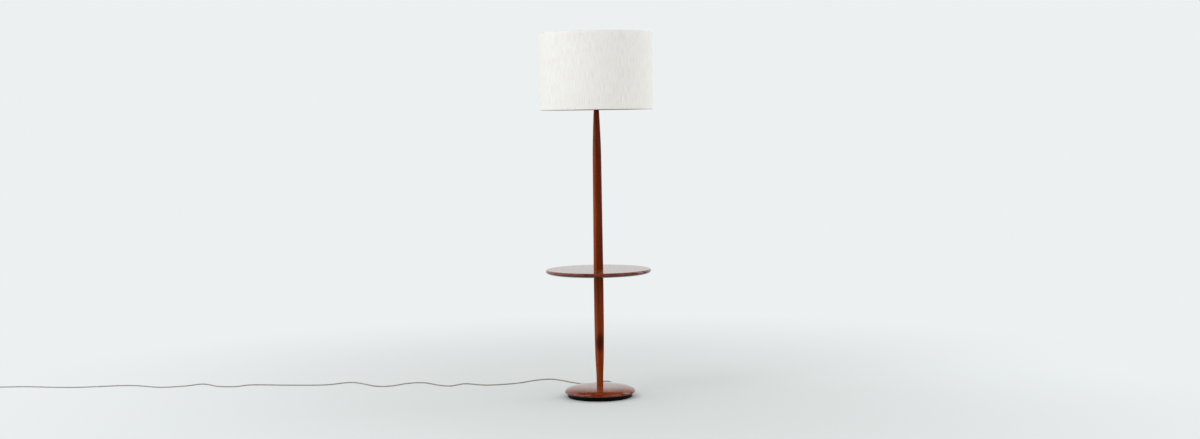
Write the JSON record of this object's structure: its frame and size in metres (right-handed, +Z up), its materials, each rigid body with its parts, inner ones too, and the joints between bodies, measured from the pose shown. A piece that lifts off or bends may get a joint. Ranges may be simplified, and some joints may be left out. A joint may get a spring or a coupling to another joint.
{
  "type": "floor lamp with table",
  "caption": "Floor lamp with a round tray table part way up a turned wooden pole, a domed weighted base, a linen drum shade on a harp and a keyed bulb socket.",
  "frame": {"origin": "centre of the felt foot on the floor, under the pole's axis", "axes": "+Z up along the pole; the front faces -Y, the cord leaves the back of the base towards +Y and runs away along -X"},
  "size_m": [2.9813, 0.6885, 1.471],
  "materials": {
    "walnut": "gloss lacquer",
    "black_iron": "satin black paint",
    "felt": "felt",
    "zinc_steel": "zinc plated",
    "brass": "satin",
    "phenolic": "moulded",
    "fibre": "pressed fibre",
    "copper_wire": "stranded",
    "bulb_glass": "frosted",
    "bulb_cap": "rolled",
    "linen": "slub linen",
    "styrene": "matt sheet",
    "cord_jacket": "satin",
    "rubber": "matt"
  },
  "bodies": {
    "lamp": {"base_felt": "felt", "base_weight": "black_iron", "base_screws": "zinc_steel", "base_disc": "walnut", "pipe_washer": "zinc_steel", "pipe_nut": "zinc_steel", "pole_lower": "walnut", "pole_upper": "walnut", "table_top": "walnut", "pipe_lower": "zinc_steel", "pipe_upper": "zinc_steel", "pipe_coupling": "zinc_steel", "neck_ring": "brass", "neck_nut": "brass", "harp_saddle": "brass", "harp_wire": "brass", "harp_swivel": "brass", "socket_cap": "brass", "socket_shell": "brass", "socket_liner": "fibre", "socket_body": "phenolic", "socket_screw_shell": "brass", "socket_contact": "brass", "terminal_screws": "brass", "socket_leads": "copper_wire", "cord_inside": "cord_jacket", "cord_grommet": "rubber", "cord_run": "cord_jacket", "cord_coil": "cord_jacket", "plug_body": "cord_jacket", "plug_blades": "brass"},
    "shade": {"shade_fabric": "linen", "shade_liner": "styrene", "shade_top_ring": "zinc_steel", "shade_bottom_ring": "zinc_steel", "shade_spider": "brass"},
    "finial": {"finial": "brass"},
    "bulb": {"bulb_glass": "bulb_glass", "bulb_base": "bulb_cap"},
    "switch_key": {"switch_key": "phenolic"},
    "ferrule_left": {"harp_ferrule_left": "brass"},
    "ferrule_right": {"harp_ferrule_right": "brass"}
  },
  "joints": [
    {"name": "shade_turn", "type": "hinge", "parent": "lamp", "child": "shade", "pos_m": [0, 0, 1.444], "axis": [0, 0, 1], "continuous": true},
    {"name": "finial_turn", "type": "hinge", "parent": "lamp", "child": "finial", "pos_m": [0, 0, 1.446], "axis": [0, 0, 1], "continuous": true},
    {"name": "bulb_turn", "type": "hinge", "parent": "lamp", "child": "bulb", "pos_m": [0, 0, 1.225], "axis": [0, 0, 1], "continuous": true},
    {"name": "key_turn", "type": "hinge", "parent": "lamp", "child": "switch_key", "pos_m": [0, -0.02, 1.2055], "axis": [0, -1, 0], "continuous": true},
    {"name": "ferrule_left_lift", "type": "slide", "parent": "lamp", "child": "ferrule_left", "axis": [0, 0, 1], "range_m": [0, 0.025]},
    {"name": "ferrule_right_lift", "type": "slide", "parent": "lamp", "child": "ferrule_right", "axis": [0, 0, 1], "range_m": [0, 0.025]}
  ]
}
